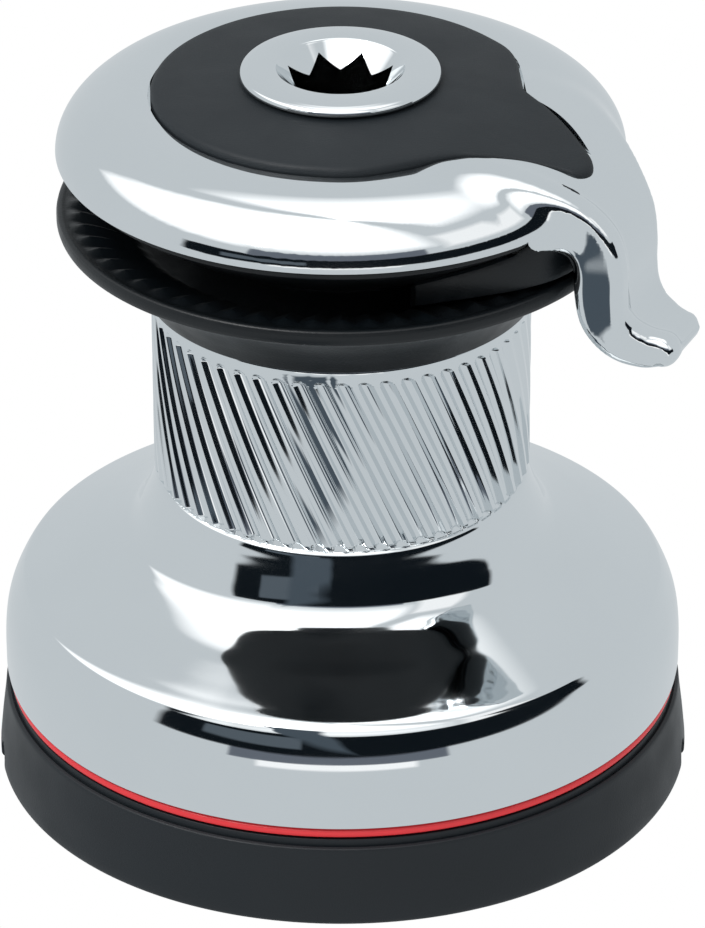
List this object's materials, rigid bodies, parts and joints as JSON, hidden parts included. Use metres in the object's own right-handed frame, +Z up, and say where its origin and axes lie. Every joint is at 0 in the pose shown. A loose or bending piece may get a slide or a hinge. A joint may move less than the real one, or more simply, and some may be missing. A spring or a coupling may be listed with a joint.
{
  "type": "self-tailing sailboat winch",
  "caption": "Two-speed self-tailing sheet winch with a ribbed chrome drum, black rope jaws, a feeder arm, a red trim ring and a star handle socket.",
  "frame": {"origin": "centre of the base's mounting face", "axes": "+Z up along the drum's axis, +X to the right and -Y towards the front; the feeder arm points between +X and -Y"},
  "size_m": [0.1575, 0.1564, 0.1703],
  "materials": {
    "chrome": "polished chrome plate",
    "black_base": "satin black moulding",
    "black_plastic": "satin black glass-filled nylon",
    "red_plastic": "satin red moulding",
    "aluminium": "machined and anodised",
    "steel": "turned stainless steel",
    "bronze": "machined bronze",
    "bearing_plastic": "white acetal"
  },
  "bodies": {
    "housing": {"base_skirt": "black_base", "housing": "aluminium", "bearing_spacer": "bearing_plastic", "lower_bush": "bearing_plastic", "middle_bush": "bearing_plastic", "upper_bush": "bearing_plastic", "idler_pin": "steel", "first_pinion_pin": "steel", "second_pinion_pin": "steel", "arm_support": "bronze", "stripper_arm": "chrome", "arm_cover": "black_plastic", "rope_guide": "black_plastic", "arm_screw_1": "steel", "arm_screw_2": "steel", "arm_screw_3": "steel", "arm_screw_4": "steel"},
    "drum": {"drum": "chrome", "drum_ring_gear": "bronze", "drum_trim_ring": "red_plastic", "lower_jaw": "black_plastic", "jaw_spring_retainer": "steel", "jaw_screw_1": "steel", "jaw_screw_2": "steel", "jaw_screw_3": "steel", "jaw_spring_1": "steel", "jaw_spring_2": "steel", "jaw_spring_3": "steel", "jaw_spring_4": "steel", "jaw_spring_5": "steel"},
    "upper_jaw": {"upper_jaw": "black_plastic"},
    "drive": {"drive_shaft": "steel", "handle_socket": "chrome", "central_screw": "steel", "shaft_gear": "steel"},
    "first_gear": {"first_speed_gear": "bronze"},
    "idler": {"idler_gear": "bronze"},
    "first_pinion": {"first_pinion": "bronze"},
    "second_pinion": {"second_pinion": "bronze"},
    "ratchet_gear": {"ratchet_gear": "bronze"},
    "first_pawl_1": {"first_pawl_1": "steel"},
    "first_pawl_2": {"first_pawl_2": "steel"},
    "second_pawl_1": {"second_pawl_1": "steel"},
    "second_pawl_2": {"second_pawl_2": "steel"},
    "lower_bearing": {"lower_roller_bearing": "bearing_plastic"},
    "upper_bearing": {"upper_roller_bearing": "bearing_plastic"}
  },
  "joints": [
    {"name": "drum_spin", "type": "hinge", "parent": "housing", "child": "drum", "pos_m": [0, 0, 0.08], "axis": [0, 0, -1], "continuous": true},
    {"name": "drive_spin", "type": "hinge", "parent": "housing", "child": "drive", "pos_m": [0, 0, 0.08], "axis": [0, 0, -1], "continuous": true},
    {"name": "first_gear_spin", "type": "hinge", "parent": "housing", "child": "first_gear", "pos_m": [0, 0, 0.033], "axis": [0, 0, -1], "continuous": true},
    {"name": "idler_spin", "type": "hinge", "parent": "housing", "child": "idler", "pos_m": [-0.0056, 0.03176, 0.033], "axis": [0, 0, -1], "continuous": true},
    {"name": "first_pinion_spin", "type": "hinge", "parent": "housing", "child": "first_pinion", "pos_m": [-0.02501, 0.02992, 0.033], "axis": [0, 0, -1], "continuous": true},
    {"name": "second_pinion_spin", "type": "hinge", "parent": "housing", "child": "second_pinion", "pos_m": [0.01283, -0.03524, 0.025], "axis": [0, 0, -1], "continuous": true},
    {"name": "ratchet_gear_spin", "type": "hinge", "parent": "housing", "child": "ratchet_gear", "pos_m": [0.01283, -0.03524, 0.015], "axis": [0, 0, -1], "continuous": true},
    {"name": "lower_bearing_spin", "type": "hinge", "parent": "housing", "child": "lower_bearing", "pos_m": [0, 0, 0.07], "axis": [0, 0, -1], "continuous": true},
    {"name": "upper_bearing_spin", "type": "hinge", "parent": "housing", "child": "upper_bearing", "pos_m": [0, 0, 0.103], "axis": [0, 0, -1], "continuous": true},
    {"name": "upper_jaw_float", "type": "slide", "parent": "drum", "child": "upper_jaw", "axis": [0, 0, 1], "range_m": [0, 0.003], "stiffness_N_per_m": 15000, "springref_m": -0.002, "deforming": ["jaw_spring_1", "jaw_spring_2", "jaw_spring_3", "jaw_spring_4", "jaw_spring_5"]},
    {"name": "first_pawl_1_swing", "type": "hinge", "parent": "drive", "child": "first_pawl_1", "pos_m": [0.01004, 0.00778, 0.033], "axis": [0, 0, -1], "range_deg": [0, 13], "stiffness_Nm_per_rad": 0.02, "springref_deg": -8.59},
    {"name": "first_pawl_2_swing", "type": "hinge", "parent": "drive", "child": "first_pawl_2", "pos_m": [-0.01004, -0.00778, 0.033], "axis": [0, 0, -1], "range_deg": [0, 13], "stiffness_Nm_per_rad": 0.02, "springref_deg": -8.59},
    {"name": "second_pawl_1_swing", "type": "hinge", "parent": "second_pinion", "child": "second_pawl_1", "pos_m": [0.01823, -0.04167, 0.015], "axis": [0, 0, 1], "range_deg": [0, 4], "stiffness_Nm_per_rad": 0.02, "springref_deg": -8.59},
    {"name": "second_pawl_2_swing", "type": "hinge", "parent": "second_pinion", "child": "second_pawl_2", "pos_m": [0.00743, -0.0288, 0.015], "axis": [0, 0, 1], "range_deg": [0, 4], "stiffness_Nm_per_rad": 0.02, "springref_deg": -8.59}
  ],
  "couplings": [
    {"joint": "drive_spin", "follows": "drum_spin", "ratio": 2.129},
    {"joint": "first_gear_spin", "follows": "drum_spin", "ratio": 2.129},
    {"joint": "idler_spin", "follows": "drum_spin", "ratio": -5.5},
    {"joint": "first_pinion_spin", "follows": "drum_spin", "ratio": 4.7143},
    {"joint": "second_pinion_spin", "follows": "drum_spin", "ratio": 4.125},
    {"joint": "ratchet_gear_spin", "follows": "drum_spin", "ratio": -1.4194},
    {"joint": "lower_bearing_spin", "follows": "drum_spin", "ratio": 0.5748},
    {"joint": "upper_bearing_spin", "follows": "drum_spin", "ratio": 0.5748}
  ]
}
